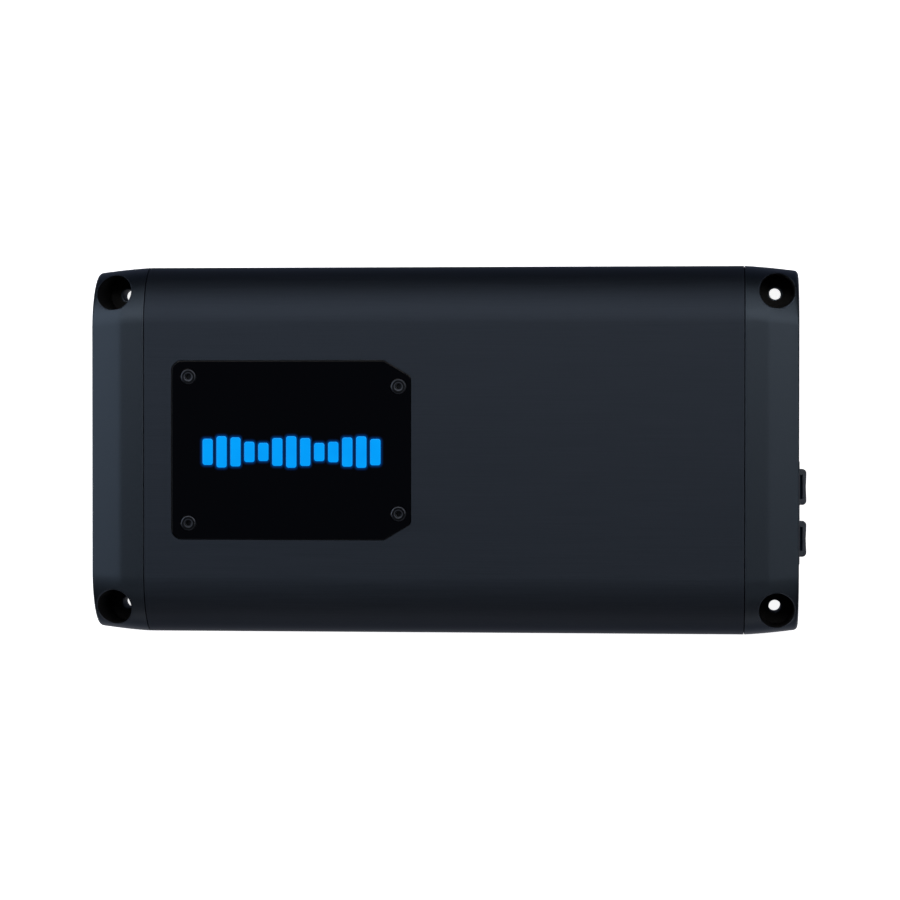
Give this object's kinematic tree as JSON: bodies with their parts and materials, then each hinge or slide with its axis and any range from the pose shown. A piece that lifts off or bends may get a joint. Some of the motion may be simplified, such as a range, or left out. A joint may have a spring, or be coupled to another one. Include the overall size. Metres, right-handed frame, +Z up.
{
  "type": "car amplifier",
  "caption": "Flat black car audio amplifier with cast end caps, corner mounting wells, lit top window, fuses and wire terminals at one end, controls at the other.",
  "frame": {"origin": "centre of the footprint on the underside, the face that rests on the vehicle", "axes": "+X along the body towards the power and fuse end, +Y across the body, +Z up out of the top face"},
  "size_m": [0.3767, 0.194, 0.0589],
  "materials": {
    "anodised_aluminium": "brushed, black anodised",
    "cast_cap_coating": "die cast, satin black coat",
    "black_steel_panel": "satin black paint on sheet steel",
    "black_screw": "black oxide",
    "gloss_window": "polished",
    "lit_acrylic": "lit from behind in blue",
    "circuit_board": "green solder mask",
    "copper_winding": "enamelled copper wire over a ferrite ring",
    "capacitor_sleeve": "shrink sleeve",
    "transistor_epoxy": "moulded epoxy",
    "plated_steel": "nickel plated",
    "brass_sleeve": "turned",
    "terminal_plastic": "moulded nylon",
    "smoked_plastic": "moulded, nearly black",
    "white_insulator": "moulded",
    "knob_plastic": "moulded",
    "switch_plastic": "moulded",
    "blue_lens": "tinted epoxy",
    "red_lens": "tinted epoxy"
  },
  "bodies": {
    "amplifier": {"heatsink_housing": "anodised_aluminium", "left_end_cap": "cast_cap_coating", "right_end_cap": "cast_cap_coating", "bottom_cover": "black_steel_panel", "input_panel": "black_steel_panel", "power_panel": "black_steel_panel", "cap_screw_left_front": "black_screw", "cap_screw_left_back": "black_screw", "cap_screw_right_front": "black_screw", "cap_screw_right_back": "black_screw", "window_screw_1": "black_screw", "window_screw_2": "black_screw", "window_screw_3": "black_screw", "window_screw_4": "black_screw", "window_plate": "gloss_window", "light_guide": "lit_acrylic", "led_board": "circuit_board", "main_board": "circuit_board", "input_board": "circuit_board", "supply_transformer": "copper_winding", "output_choke": "copper_winding", "capacitor_1": "capacitor_sleeve", "capacitor_2": "capacitor_sleeve", "capacitor_3": "capacitor_sleeve", "power_transistor_1": "transistor_epoxy", "power_transistor_2": "transistor_epoxy", "power_transistor_3": "transistor_epoxy", "power_transistor_4": "transistor_epoxy", "clamp_bar_front": "plated_steel", "clamp_bar_back": "plated_steel", "power_terminal_screw_1": "plated_steel", "power_terminal_screw_2": "plated_steel", "power_terminal_screw_3": "plated_steel", "speaker_terminal_screw_1": "plated_steel", "speaker_terminal_screw_2": "plated_steel", "speaker_terminal_screw_3": "plated_steel", "speaker_terminal_screw_4": "plated_steel", "rca_shell_1": "plated_steel", "rca_shell_2": "plated_steel", "rca_shell_3": "plated_steel", "rca_shell_4": "plated_steel", "power_terminal_sleeve_1": "brass_sleeve", "power_terminal_sleeve_2": "brass_sleeve", "power_terminal_sleeve_3": "brass_sleeve", "power_terminal_block": "terminal_plastic", "speaker_terminal_block": "terminal_plastic", "fuse_holder": "terminal_plastic", "remote_port": "terminal_plastic", "rca_block": "white_insulator", "power_led": "blue_lens", "protect_led": "red_lens"},
    "fuse_1": {"fuse_1": "smoked_plastic"},
    "fuse_2": {"fuse_2": "smoked_plastic"},
    "gain_knob": {"gain_knob": "knob_plastic"},
    "lowpass_knob": {"lowpass_knob": "knob_plastic"},
    "subsonic_knob": {"subsonic_knob": "knob_plastic"},
    "bass_knob": {"bass_knob": "knob_plastic"},
    "phase_switch": {"phase_switch": "switch_plastic"},
    "level_switch": {"level_switch": "switch_plastic"}
  },
  "joints": [
    {"name": "gain_turn", "type": "hinge", "parent": "amplifier", "child": "gain_knob", "pos_m": [-0.173, -0.01, 0.0315], "axis": [-1, 0, 0], "range_deg": [-140, 140]},
    {"name": "lowpass_turn", "type": "hinge", "parent": "amplifier", "child": "lowpass_knob", "pos_m": [-0.173, 0.006, 0.0315], "axis": [-1, 0, 0], "range_deg": [-140, 140]},
    {"name": "subsonic_turn", "type": "hinge", "parent": "amplifier", "child": "subsonic_knob", "pos_m": [-0.173, 0.022, 0.0315], "axis": [-1, 0, 0], "range_deg": [-140, 140]},
    {"name": "bass_turn", "type": "hinge", "parent": "amplifier", "child": "bass_knob", "pos_m": [-0.173, 0.038, 0.0315], "axis": [-1, 0, 0], "range_deg": [-140, 140]},
    {"name": "phase_slide", "type": "slide", "parent": "amplifier", "child": "phase_switch", "axis": [0, 1, 0], "range_m": [0, 0.003]},
    {"name": "level_slide", "type": "slide", "parent": "amplifier", "child": "level_switch", "axis": [0, 1, 0], "range_m": [0, 0.003]},
    {"name": "fuse_1_pull", "type": "slide", "parent": "amplifier", "child": "fuse_1", "axis": [1, 0, 0], "range_m": [0, 0.022]},
    {"name": "fuse_2_pull", "type": "slide", "parent": "amplifier", "child": "fuse_2", "axis": [1, 0, 0], "range_m": [0, 0.022]}
  ]
}
